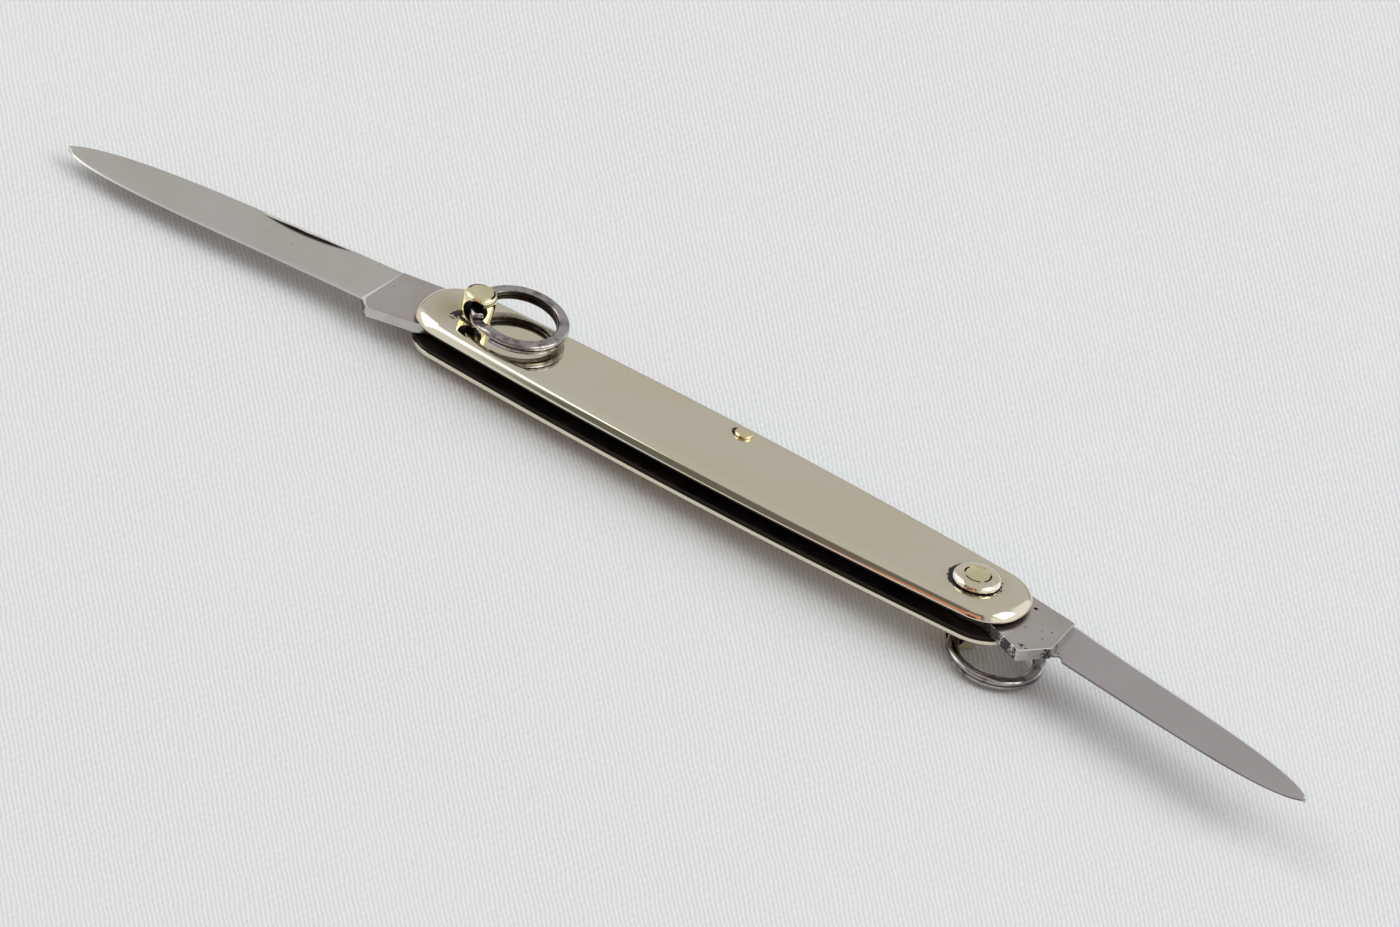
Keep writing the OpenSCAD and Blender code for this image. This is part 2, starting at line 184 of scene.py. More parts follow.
class Nodes:
    """Short ways to add the nodes that the finishes use."""

    def __init__(self, tree):
        self.tree = tree

    def add(self, kind, **settings):
        node = self.tree.nodes.new(kind)
        for key, value in settings.items():
            setattr(node, key, value)
        return node

    def link(self, out, into):
        self.tree.links.new(out, into)

    def feed(self, socket, value):
        if isinstance(value, bpy.types.NodeSocket):
            self.link(value, socket)
        else:
            socket.default_value = value

    def place(self, centre=(0, 0, 0), turn=(0, 0, 0), scale=(1, 1, 1)):
        """The object's coordinates, measured from a centre, then turned and scaled."""
        coordinates = self.add("ShaderNodeTexCoord").outputs["Object"]
        moved = self.add("ShaderNodeVectorMath", operation="SUBTRACT")
        self.link(coordinates, moved.inputs[0])
        moved.inputs[1].default_value = centre
        mapping = self.add("ShaderNodeMapping")
        self.link(moved.outputs[0], mapping.inputs["Vector"])
        mapping.inputs["Rotation"].default_value = turn
        mapping.inputs["Scale"].default_value = scale
        return mapping.outputs[0]

    def noise(self, vector, scale, detail=4.0, rough=0.55):
        node = self.add("ShaderNodeTexNoise")
        self.link(vector, node.inputs["Vector"])
        node.inputs["Scale"].default_value = scale
        node.inputs["Detail"].default_value = detail
        node.inputs["Roughness"].default_value = rough
        return node.outputs["Fac"]

    def spots(self, vector, scale):
        node = self.add("ShaderNodeTexVoronoi")
        self.link(vector, node.inputs["Vector"])
        node.inputs["Scale"].default_value = scale
        return node.outputs["Distance"]

    def math(self, operation, a, b=0.0, c=0.0, use_clamp=False):
        node = self.add("ShaderNodeMath", operation=operation, use_clamp=use_clamp)
        for socket, value in zip(node.inputs, (a, b, c)):
            self.feed(socket, value)
        return node.outputs[0]

    def between(self, value, low, high, to_low=0.0, to_high=1.0):
        node = self.add("ShaderNodeMapRange", interpolation_type="SMOOTHSTEP")
        self.feed(node.inputs["Value"], value)
        node.inputs["From Min"].default_value = low
        node.inputs["From Max"].default_value = high
        node.inputs["To Min"].default_value = to_low
        node.inputs["To Max"].default_value = to_high
        return node.outputs[0]

    def mix(self, fac, a, b):
        """Mixes two colours, whose sockets come after those for numbers and vectors."""
        node = self.add("ShaderNodeMix", data_type="RGBA")
        self.feed(node.inputs[0], fac)
        self.feed(node.inputs[6], a)
        self.feed(node.inputs[7], b)
        return node.outputs[2]

    def distance_from(self, centre):
        """Distance in plan from a point of the object."""
        return self.length(self.place(centre=centre, scale=(1, 1, 0)))

    def split(self, vector):
        node = self.add("ShaderNodeSeparateXYZ")
        self.link(vector, node.inputs[0])
        return node.outputs

    def length(self, vector):
        node = self.add("ShaderNodeVectorMath", operation="LENGTH")
        self.link(vector, node.inputs[0])
        return node.outputs["Value"]

    def bump(self, height, strength, distance):
        node = self.add("ShaderNodeBump")
        self.link(height, node.inputs["Height"])
        node.inputs["Strength"].default_value = strength
        node.inputs["Distance"].default_value = distance
        return node.outputs[0]

    def surface(self, color, roughness, metallic, normal):
        shader = self.add("ShaderNodeBsdfPrincipled")
        self.feed(shader.inputs["Base Color"], color)
        self.feed(shader.inputs["Roughness"], roughness)
        self.feed(shader.inputs["Metallic"], metallic)
        self.link(normal, shader.inputs["Normal"])
        self.link(shader.outputs[0], self.add("ShaderNodeOutputMaterial").inputs[0])


def rgb(r, g, b):
    """An sRGB colour from 0 to 255 as the linear colour that Blender takes."""
    def linear(c):
        c /= 255
        return c / 12.92 if c <= 0.04045 else ((c + 0.055) / 1.055) ** 2.4
    return (linear(r), linear(g), linear(b), 1.0)


# Each finish has a tint and a shade, which a cloudy pattern mixes
SCALE_METAL = (rgb(226, 219, 201), rgb(223, 215, 195))
GOLD = (rgb(239, 228, 190), rgb(224, 213, 174))
COLLAR_GOLD = (rgb(237, 227, 205), rgb(223, 212, 187))
LONG_STEEL = (rgb(209, 206, 202), rgb(200, 197, 192))
SHORT_STEEL = (rgb(191, 186, 187), rgb(184, 179, 180))
SHORT_EDGE_STEEL = (rgb(140, 135, 142), rgb(122, 117, 122))
LONG_TANG_STEEL = (rgb(198, 192, 189), rgb(183, 175, 171))
SHORT_TANG_STEEL = (rgb(198, 192, 189), rgb(185, 177, 173))
LONG_TANG_SIDE = (rgb(214, 212, 208), rgb(176, 172, 168))
SHORT_TANG_SIDE = (rgb(214, 212, 208), rgb(166, 162, 158))
# A light, mostly non-metallic finish: a painted highlight strip on the plunge face and the swedge
PLUNGE_PAINTED_HIGHLIGHT = (rgb(212, 214, 217), rgb(198, 200, 203))
SPRING_STEEL = (rgb(120, 114, 108), rgb(90, 84, 80))
WIRE_STEEL = (rgb(178, 174, 174), rgb(112, 106, 105))
# Painted shade for the rings' inner walls
WIRE_PAINTED_SHADE = (rgb(62, 56, 50), rgb(38, 34, 30))
LINER_PATINA = (rgb(30, 27, 25), rgb(52, 46, 41))
EYE_BORE_DARK = (rgb(12, 10, 9), rgb(30, 25, 20))
# Cloth colours for the weave's hollows and tops: the darker hollows are painted shade
CLOTH = (rgb(210, 214, 217), rgb(234, 238, 240))

CLOTH_CLOUD = rgb(229, 231, 231)
TARNISH = rgb(184, 168, 128)
RUST = rgb(74, 56, 48)
# Painted shade for the nail nick's hollow
NICK_PAINTED_SHADE = rgb(48, 45, 41)
DIRT = rgb(22, 18, 14)
# A painted highlight, used on the collar's far edge and on the spine above the nail nick
PAINTED_HIGHLIGHT = rgb(254, 253, 248)

# The band in which most values of a noise lie
BAND = (0.3, 0.7)
# Scale of the ragged edge's pattern round a patch of dirt
RAGGED = 2600


def scale_metal(name, marks, hazes):
    """Mirror polished pale gold metal with fine scratches. Marks are patches of dirt with x, y, radius and
    raggedness, and hazes are soft tarnished patches with x, y and radius, all in millimetres."""
    m, n = new_material(name)
    where = n.place()
    cloud = n.noise(where, 90, 3)
    scratch = n.noise(n.place(turn=(0, 0, 0.3), scale=(1, 30, 30)), 220, 2)
    color = n.mix(n.between(cloud, *BAND), *SCALE_METAL)
    roughness = n.between(cloud, 0.35, 0.75, 0.035, 0.07)
    roughness = n.math("ADD", roughness, n.between(scratch, 0.6, 0.9, 0.0, 0.04))
    for x, y, radius in hazes:
        near = n.distance_from((x * MM, y * MM, 0))
        reach = n.math("ADD", near, n.between(cloud, *BAND, -1 * MM, 1 * MM))
        haze = n.between(reach, 0, radius * MM, 0.75, 0.0)
        color = n.mix(haze, color, TARNISH)
        roughness = n.math("ADD", roughness, n.math("MULTIPLY", haze, 0.08))
    dirt = 0.0
    patch = n.noise(where, RAGGED, 5, 0.6)
    for x, y, radius, ragged in marks:
        near = n.distance_from((x * MM, y * MM, 0))
        reach = n.math("ADD", near, n.between(patch, *BAND, ragged * MM, -ragged * MM))
        spot = n.between(reach, radius * MM, (radius + 0.12) * MM, 1.0, 0.0)
        dirt = n.math("MAXIMUM", dirt, spot)
    color = n.mix(dirt, color, DIRT)
    roughness = n.math("ADD", roughness, n.math("MULTIPLY", dirt, 0.5))
    normal = n.bump(n.noise(where, 45, 2), 0.02, 0.3 * MM)
    metallic = n.between(dirt, 0.3, 0.9, 1.0, 0.2)
    n.surface(color, roughness, metallic, normal)
    return m


def fitting_metal(name, x=0.0, arcs=(), rim=None, tints=GOLD):
    """Polished gold metal. Arcs, each with its middle and half angle, draw the broken dark line round a
    peened shank at x. A rim, with its centre, radius and middle angle, paints a highlight on the far edge:
    a bright band that stands for the light the edge reflects."""
    m, n = new_material(name)
    where = n.place()
    cloud = n.noise(where, 260, 4)
    color = n.mix(n.between(cloud, 0.35, 0.7), *tints)
    roughness = n.between(cloud, 0.3, 0.75, 0.05, 0.1)
    normal = n.bump(n.noise(where, 700, 2), 0.04, 0.1 * MM)
    if arcs:
        centre = (x, 0, 0)
        away = n.distance_from(centre)
        off = n.math("ABSOLUTE", n.math("SUBTRACT", away, SHANK_R))
        line = n.between(off, 0.08 * MM, 0.13 * MM, 1.0, 0.0)
        broken = 0.0
        for middle, half in arcs:
            ahead = n.split(n.place(centre=centre, turn=(0, 0, -radians(middle))))[0]
            inside = n.between(n.math("DIVIDE", ahead, away), cos(radians(half + 8)), cos(radians(half)))
            broken = n.math("MAXIMUM", broken, inside)
        dark = n.math("MULTIPLY", line, broken)
        color = n.mix(dark, color, DIRT)
        roughness = n.math("ADD", roughness, n.math("MULTIPLY", dark, 0.5))
    # Painted highlight: a bright band along the collar's far edge
    if rim:
        highlight_centre, start, middle = rim
        from_highlight_centre = n.distance_from(highlight_centre)
        ahead = n.split(n.place(centre=highlight_centre, turn=(0, 0, -radians(middle))))[0]
        outside = n.between(from_highlight_centre, start, start + 0.08 * MM)
        beyond = n.between(n.math("DIVIDE", ahead, from_highlight_centre), cos(radians(126)), cos(radians(100)))
        color = n.mix(n.math("MULTIPLY", outside, beyond), color, PAINTED_HIGHLIGHT)
    n.surface(color, roughness, 1.0, normal)
    return m


def blade_metal(name, tints, rough, pits=0.0, pit_size=1.0, nick=None, marks=(), metallic=1.0):
    """Satin steel with fine lengthwise grinding lines, faint stains and dark pits. A nick gives the groove's
    middle, length, width and slope: painted shade darkens its hollow and a painted highlight lines the
    spine above it. Marks are patches of dirt as in scale_metal."""
    m, n = new_material(name)
    where = n.place()
    grind = n.noise(n.place(scale=(0.03, 1, 1)), 5200, 3, 0.6)
    stain = n.noise(where, 130, 4, 0.55)
    color = n.mix(n.between(stain, 0.3, 0.72), *tints)
    color = n.mix(n.between(grind, 0.4, 0.75, 0.0, 0.12), color, tints[1])
    roughness = n.between(stain, *BAND, rough, rough + 0.06)
    height = grind
    if pits:
        cells = n.spots(where, 900 / pit_size)
        cluster = n.between(n.noise(where, 330 / pit_size, 4, 0.7), 0.5, 0.72, 0.0, pits)
        dark = n.between(n.math("SUBTRACT", cells, cluster), -0.04, 0.04, 1.0, 0.0)
        color = n.mix(dark, color, DIRT)
        roughness = n.math("ADD", roughness, n.math("MULTIPLY", dark, 0.3))
        height = n.math("SUBTRACT", grind, n.math("MULTIPLY", dark, 0.6))
    if nick:
        middle, length, width, slope = nick
        along, across, _ = n.split(n.place(centre=middle, turn=(0, 0, slope)))
        half = n.math("DIVIDE", along, length / 2)
        inside = n.math("SUBTRACT", 1.0, n.math("MULTIPLY", half, half), use_clamp=True)
        below = n.math("MULTIPLY", across, -1.0)
        top = n.between(below, -0.05 * MM, 0.04 * MM)
        reach = n.math("MULTIPLY", inside, width)
        bottom = n.between(n.math("SUBTRACT", reach, below), -0.02 * MM, 0.55 * MM)
        present = n.between(inside, 0.05, 0.45)
        # Painted shade in the nick's hollow
        painted_nick_shade = n.math("MULTIPLY", n.math("MULTIPLY", top, bottom), present)
        # A painted highlight along the spine's edge above the nick
        lip = n.math("MULTIPLY", n.math("SUBTRACT", present, top, use_clamp=True), 0.75)
        color = n.mix(lip, color, PAINTED_HIGHLIGHT)
        color = n.mix(painted_nick_shade, color, NICK_PAINTED_SHADE)
        roughness = n.math("ADD", roughness, n.math("MULTIPLY", painted_nick_shade, 0.2))
    patch = n.noise(where, RAGGED, 5, 0.65)
    for x, y, radius, ragged in marks:
        near = n.distance_from((x * MM, y * MM, 0))
        reach = n.math("ADD", near, n.between(patch, *BAND, ragged * MM, -ragged * MM))
        spot = n.between(reach, (radius - 0.1) * MM, (radius + 0.1) * MM, 0.86, 0.0)
        color = n.mix(spot, color, DIRT)
        roughness = n.math("ADD", roughness, n.math("MULTIPLY", spot, 0.4))
    n.surface(color, roughness, metallic, n.bump(height, 0.06, 0.02 * MM))
    return m


def wire_metal(name, tints):
    """Worn steel wire with rubbed spots."""
    m, n = new_material(name)
    where = n.place()
    wear = n.noise(where, 700, 5, 0.65)
    color = n.mix(n.between(wear, 0.42, 0.66), *tints)
    color = n.mix(n.between(n.noise(where, 1400, 3), 0.66, 0.8), color, RUST)
    roughness = n.between(wear, *BAND, 0.1, 0.25)
    n.surface(color, roughness, 1.0, n.bump(wear, 0.07, 0.05 * MM))
    return m


def dark_plate(name, tints, rough):
    """Dark patina of the plates deep in the slot, and the nearly black rough finish inside the eyes' bores.
    """
    m, n = new_material(name)
    where = n.place()
    cloud = n.noise(where, 300, 4)
    color = n.mix(n.between(cloud, *BAND), *tints)
    n.surface(color, n.between(cloud, *BAND, rough, rough + 0.2), 0.7, n.bump(cloud, 0.1, 0.05 * MM))
    return m


# The long blade's nail nick, measured from the pivot
NICK_MID = (21.7 * MM, 1.5 * MM)
NICK_SLOPE = radians(-8)
NICK_L = 12 * MM
NICK_W = 0.98 * MM
NICK_DEPTH = 0.2 * MM

# Dirt and tarnish, in millimetres: at the post, the collar and the pin, and on the short blade's tang
PIVOT_MM = PIVOT_X / MM
PIN_MM = PIN_Y / MM
FRONT_DIRT = [
    (-PIVOT_MM - 1.5, -1.25, 0.6, 0.5),
    (-PIVOT_MM - 0.15, -0.1, 1.7, 0.12),
    (PIVOT_MM - 0.28, 0.05, 2.84, 0.12),
    (PIVOT_MM + 0.1, -0.12, 2.66, 0.25),
    (-0.35, PIN_MM + 0.1, 0.95, 0.12)]
FRONT_HAZES = [(-PIVOT_MM - 2.0, -0.5, 4.5), (PIVOT_MM, 0, 3.9)]
BACK_DIRT = [(-PIVOT_MM, 0, 2.72, 0.25), (PIVOT_MM, 0, 1.75, 0.25), (0, PIN_MM, 0.93, 0.15)]
BACK_HAZES = [(PIVOT_MM, 0, 4), (-PIVOT_MM, 0, 4.2)]
SHORT_BLADE_DIRT = [(42.72, -1.2, 0.1, 0.15), (43.1, -1.1, 0.03, 0.12)]
SHORT_TANG_DIRT = [
    (39.72, -4.19, 0.2, 0.3), (40.4, -4.3, 0.08, 0.22), (41.2, -3.75, 0.05, 0.25),
    (36.6, -1.9, -0.1, 0.9), (36.0, 3.67, 0.02, 0.2), (39.33, 3.01, 0.0, 0.14),
    (40.0, 1.08, 0.0, 0.12), (37.3, -3.2, -0.25, 0.9), (38.4, -2.9, -0.45, 1.0),
    (39.95, -0.1, 0.0, 0.16)]
SHORT_SIDE_DIRT = [
    (36.6, -3.8, 0.8, 0.7), (38.2, -4.5, 0.9, 0.7), (39.5, -5.05, 0.15, 0.6),
    (42.2, -2.6, 0.45, 0.5), (41.0, -4.1, -0.2, 0.5), (42.4, -0.9, 0.15, 0.5)]

# Where the dark line round a peened shank shows: middle and half angle in degrees
LEFT_ARCS = ((150, 40), (20, 30))
RIGHT_ARCS = ((185, 18), (275, 33), (3, 30))
# Where the collar's painted highlight runs: its circle's centre and radius, and its middle angle in degrees
COLLAR_HIGHLIGHT_RIM = ((PIVOT_X + 0.125 * MM, -0.385 * MM, 0), 2.33 * MM, 108)

front_metal = scale_metal("front_scale_metal", FRONT_DIRT, FRONT_HAZES)
back_metal = scale_metal("back_scale_metal", BACK_DIRT, BACK_HAZES)
left_fitting = fitting_metal("left_fitting_metal", -PIVOT_X, LEFT_ARCS)
right_fitting = fitting_metal("right_fitting_metal", PIVOT_X, RIGHT_ARCS)
collar_metal = fitting_metal("collar_metal", PIVOT_X, RIGHT_ARCS, COLLAR_HIGHLIGHT_RIM, COLLAR_GOLD)
pin_metal = fitting_metal("pin_metal")
long_face = blade_metal("long_blade_steel", LONG_STEEL, 0.3, 0.1,
                        nick=((-PIVOT_X - NICK_MID[0], NICK_MID[1], 0), NICK_L, NICK_W, NICK_SLOPE))
short_face = blade_metal("short_blade_steel", SHORT_STEEL, 0.3, 0.05, marks=SHORT_BLADE_DIRT)
short_edge = blade_metal("short_edge_steel", SHORT_EDGE_STEEL, 0.3)
long_tang_face = blade_metal("long_tang_steel", LONG_TANG_STEEL, 0.3, 0.12)
long_tang_edge = blade_metal("long_tang_edge_steel", LONG_TANG_SIDE, 0.2, 0.3)
short_tang_face = blade_metal("short_tang_steel", SHORT_TANG_STEEL, 0.3, 0.3, marks=SHORT_TANG_DIRT)
short_tang_edge = blade_metal("short_tang_edge_steel", SHORT_TANG_SIDE, 0.2, 0.2, 1.5, marks=SHORT_SIDE_DIRT)
plunge_highlight = blade_metal("plunge_painted_highlight", PLUNGE_PAINTED_HIGHLIGHT, 0.4, metallic=0.15)
ring_metal = wire_metal("ring_steel", WIRE_STEEL)
# The rings' inner walls get a near-black copy of the wire: painted shade
ring_inner = wire_metal("ring_inner_painted_shade", WIRE_PAINTED_SHADE)
liner_metal = dark_plate("liner_patina", LINER_PATINA, 0.45)
eye_metal = dark_plate("eye_bore_dark", EYE_BORE_DARK, 0.7)
spring_metal = blade_metal("spring_steel", SPRING_STEEL, 0.35, 0.3)


# The handle

def handle_outline(inset=0.0):
    """The handle's outline, counter-clockwise from the tip of the right end: a wide end arc, a corner arc
    that touches it and the side, and the long flat arc of the side."""
    side_y = HALF_W - SIDE_R
    end_x = HALF_L - END_R
    reach = hypot(end_x, side_y)
    a = SIDE_R - CORNER_R
    b = END_R - CORNER_R
    along = (a * a - b * b + reach * reach) / (2 * reach)
    across = sqrt(a * a - along * along)
    corner_x = (along * end_x + across * -side_y) / reach
    corner_y = side_y + (along * -side_y - across * end_x) / reach
    side_a = atan2(corner_y - side_y, corner_x)
    end_a = atan2(corner_y, corner_x - end_x)
    quarter = arc(end_x, 0, END_R - inset, 0, end_a, 10)[:-1]
    quarter += arc(corner_x, corner_y, CORNER_R - inset, end_a, side_a, 26)[:-1]
    quarter += arc(0, side_y, SIDE_R - inset, side_a, pi / 2, 40)
    left = [(-x, y) for x, y in reversed(quarter[:-1])]
    top = quarter + left
    bottom = [(-x, -y) for x, y in top]
    return top[:-1] + bottom[:-1]


# The rounding's reach over the face, the angle at which it starts, its steps and the broken edge below
ROUND_IN = 1.55 * MM
ROUND_FROM = radians(22)
ROUND_STEPS = 14
BREAK = 0.02 * MM
# Height of each scale's upright wall below the rounding, and how far the back one's foot leans in
FRONT_WALL = 0.09 * MM
BACK_WALL = 0.34 * MM
BACK_LEAN = 0.05 * MM


def ring_of_edges(bm, points, z):
    """A closed ring of edges through the points, at height z."""
    verts = [bm.verts.new((x, y, z)) for x, y in points]
    return [bm.edges.new(pair) for pair in zip(verts, verts[1:] + verts[:1])]


def make_scale(name, node, material, wall, lean, over):
    """A scale as a stack of outlines: a small break below, a wall with its height and lean, the rounding."""
    foot_z = INNER_Z + BREAK
    round_down = (FACE_Z - foot_z - wall) / (1 - sin(ROUND_FROM))
    turns = [ROUND_FROM + (pi / 2 - ROUND_FROM) * i / ROUND_STEPS for i in range(ROUND_STEPS + 1)]
    levels = [(BREAK + lean, INNER_Z), (lean, foot_z)]
    levels += [(ROUND_IN * (cos(ROUND_FROM) - cos(a)), FACE_Z - round_down * (1 - sin(a))) for a in turns]
    bm = bmesh.new()
    rings = [ring_of_edges(bm, handle_outline(inset), z) for inset, z in levels]
    for low, high in zip(rings, rings[1:]):
        bmesh.ops.bridge_loops(bm, edges=low + high)
    bmesh.ops.holes_fill(bm, edges=rings[0] + rings[-1], sides=0)
    if over:
        flip_over(bm)
    return piece(name, bm, "handle", [material], [node])


make_scale("front_scale_plate", "front_scale", front_metal, FRONT_WALL, 0.0, False)
make_scale("back_scale_plate", "back_scale", back_metal, BACK_WALL, BACK_LEAN, True)


# The eye posts, collars and centre pin

def cut_with(bm, cutter_bm):
    """The first mesh with the second taken out of it."""
    objects = []
    for part in (bm, cutter_bm):
        mesh = bpy.data.meshes.new("cutting")
        bmesh.ops.recalc_face_normals(part, faces=part.faces)
        part.to_mesh(mesh)
        part.free()
        obj = bpy.data.objects.new("cutting", mesh)
        bpy.context.scene.collection.objects.link(obj)
        objects.append(obj)
    body, cutter = objects
    modifier = body.modifiers.new("cut", "BOOLEAN")
    modifier.operation = "DIFFERENCE"
    modifier.solver = "EXACT"
    modifier.object = cutter
    bpy.context.view_layer.update()
    result = body.evaluated_get(bpy.context.evaluated_depsgraph_get()).to_mesh()
    made = bmesh.new()
    made.from_mesh(result)
    body.evaluated_get(bpy.context.evaluated_depsgraph_get()).to_mesh_clear()
    for obj in objects:
        mesh = obj.data
        bpy.data.objects.remove(obj)
        bpy.data.meshes.remove(mesh)
    return made


def make_post(name, node, x, turn, peen_rise, over, material):
    """An eye post with the shank's peened end on the other side of the handle. The post widens from its foot
    to its waist, and a round shoulder leads to the flat disc on top."""
    foot = 1.62 * MM
    disc = 1.4 * MM
    lip = 0.05 * MM
    waist_share = 0.74
    waist_z = FACE_Z + waist_share * (POST_TOP - FACE_Z)
    belly = [(foot + (POST_R - foot) * sin(pi / 2 * t), FACE_Z + (waist_z - FACE_Z) * t)
             for t in (0.0, 0.12, 0.25, 0.4, 0.55, 0.7, 0.85, 1.0)]
    shoulder_z = POST_TOP - lip
    shoulder = [(disc + lip + (POST_R - disc - lip) * cos(a), waist_z + (shoulder_z - waist_z) * sin(a))
                for a in [pi / 2 * i / 12 for i in range(1, 12)]]
    rim = arc(disc, shoulder_z, lip, 0, pi / 2, 4)
    shank = [(0, INNER_Z), (SHANK_R, INNER_Z), (SHANK_R, FACE_Z)]
    bm = turned_profile(shank + belly + shoulder + rim + [(0, POST_TOP)], steps=128)
    bore = bmesh.new()
    bmesh.ops.create_cone(bore, cap_ends=True, segments=96, radius1=EYE_R, radius2=EYE_R, depth=6 * MM,
                          matrix=Matrix.Rotation(pi / 2, 4, "X"))
    bmesh.ops.translate(bore, verts=bore.verts, vec=(0, 0, EYE_Z))
    bm = cut_with(bm, bore)

    def off_bore(point):
        return hypot(point.x, point.z - EYE_Z) - EYE_R

    for f in bm.faces:
        f.material_index = 1 if off_bore(f.calc_center_median()) < 0.005 * MM else 0
    mouth = [e for e in bm.edges if len(e.link_faces) == 2 and e.calc_face_angle(0) > radians(35)
             and all(abs(off_bore(v.co)) < 0.02 * MM for v in e.verts)]
    round_edges(bm, mouth, 0.07 * MM)
    peen_z = -FACE_Z - COLLAR_H - peen_rise
    peened = turned_profile([(0, -INNER_Z), (SHANK_R, -INNER_Z), (SHANK_R, peen_z + 0.1 * MM),
                             (SHANK_R * 0.96, peen_z + 0.02 * MM), (SHANK_R * 0.6, peen_z - 0.05 * MM),
                             (0, peen_z - 0.07 * MM)])
    join(bm, peened)
    if over:
        flip_over(bm)
    bmesh.ops.rotate(bm, verts=bm.verts, cent=(0, 0, 0), matrix=Matrix.Rotation(turn, 3, "Z"))
    bmesh.ops.translate(bm, verts=bm.verts, vec=(x, 0, 0))
    return piece(name, bm, "handle", [material, eye_metal], [node])


# How far each post is turned on its shank, and how much higher the front collar and peened end stand
FRONT_TURN = radians(15)
BACK_TURN = radians(-9)
FRONT_RISE = 0.12 * MM
make_post("front_eye_post", "front_eye_stud", -PIVOT_X, FRONT_TURN, 0.0, False, left_fitting)
make_post("back_eye_post", "back_eye_stud", PIVOT_X, BACK_TURN, FRONT_RISE, True, right_fitting)


def make_collar(name, node, x, rise, over, material):
    """A collar with an undercut foot, a full round shoulder and a nearly flat top round the shank."""
    inner = SHANK_R + 0.01 * MM
    outer = COLLAR_R - 0.1 * MM
    foot = outer - 0.25 * MM
    waist = FACE_Z + 0.26 * MM
    top = FACE_Z + COLLAR_H + rise
    low = FACE_Z + 0.02 * MM
    fullness = 0.72
    under = [(foot + (outer - foot) * sin(a), waist - (waist - low) * cos(a))
             for a in [pi / 2 * i / 6 for i in range(7)]]
    dome = [(inner + (outer - inner) * cos(a) ** fullness, waist + (top - waist) * sin(a))
            for a in [pi / 2 * i / 24 for i in range(1, 24)]]
    bm = turned_profile([(inner, low)] + under + dome + [(inner, top), (inner, low)], steps=128)
    if over:
        flip_over(bm)
    bmesh.ops.translate(bm, verts=bm.verts, vec=(x, 0, 0))
    return piece(name, bm, "handle", [material], [node])


make_collar("front_collar_ring", "front_collar", PIVOT_X, FRONT_RISE, False, collar_metal)
make_collar("back_collar_ring", "back_collar", -PIVOT_X, 0.0, True, left_fitting)


def make_pin():
    """The centre pin's two heads, each with an upright rim and a domed top."""
    low = FACE_Z - 0.3 * MM
    neck = PIN_R * 0.9
    rim = 0.45
    head = [(0, low), (neck, low), (neck, FACE_Z), (PIN_R, FACE_Z + 0.08 * MM)]
    head += [(PIN_R, FACE_Z + PIN_H * rim)]
    head += [(PIN_R * cos(a), FACE_Z + PIN_H * (rim + (1 - rim) * sin(a)))
             for a in [pi / 2 * i / 9 for i in range(1, 10)]]
    bm = turned_profile(head, 64)
    other = bm.copy()
    flip_over(other)
    join(bm, other)
    bmesh.ops.translate(bm, verts=bm.verts, vec=(0, PIN_Y, 0))
    return piece("centre_pin_heads", bm, "handle", [pin_metal], ["centre_pin"])


make_pin()


# The blades

BLADE_T = 0.7 * MM
BLADE_GAP = 0.06 * MM
# Turn from open to closed, in degrees
FOLD = 167


class Blade:
    """One blade's sizes in metres, measured from its pivot: u outwards along the open blade, v to the
    handle's back and z to the front.

    length, drop: where the point is
    plunge: where the blade leaves the tang
    back, depth: the spine's height there and the blade's depth
    spine_slope, edge_slope, point_v: lead the curves of the spine and the edge
    low: height of the plate's back face
    kick, kick_round, lip: the tang's lower corners, the first one rounded
    plunge_spine, plunge_edge, plunge_run: the plunge line's ends and the reach of its slanting face
    tang_back, tang_low, tang_high: the tang's back and its two faces
    swedge: share of the blade's depth that the ground strip beside the spine takes, and its depth"""

    def __init__(self, length, drop, plunge, back, depth, spine_slope, edge_slope, point_v, low, kick,
                 kick_round, lip, plunge_spine, plunge_edge, plunge_run, tang_back, tang_low, tang_high,
                 swedge):
        root = plunge - 0.6 * MM
        heel = back - depth
        lead = 0.36 * length
        belly = 0.34 * length
        self.spine = [(root, back), (root + lead, back - spine_slope * lead),
                      (length - 0.087 * length, point_v), (length, -drop)]
        self.edge = [(root, heel), (root + belly, heel - edge_slope * belly),
                     (length - 0.072 * length, -drop - 0.074 * length),
                     (length - 0.2 * MM, -drop - 0.2 * MM)]
        self.low = low
        self.kick = kick
        self.kick_round = kick_round
        self.lip = lip
        self.heel = heel
        self.plunge_spine = plunge_spine
        self.plunge_edge = plunge_edge
        self.plunge_run = plunge_run
        self.tang_back = tang_back
        self.tang_low = tang_low
        self.tang_high = tang_high
        self.swedge = swedge
        # Only a wide swedge gets the painted highlight, and then the dark edge line too
        self.painted_swedge_highlight = swedge[0] > 0.05


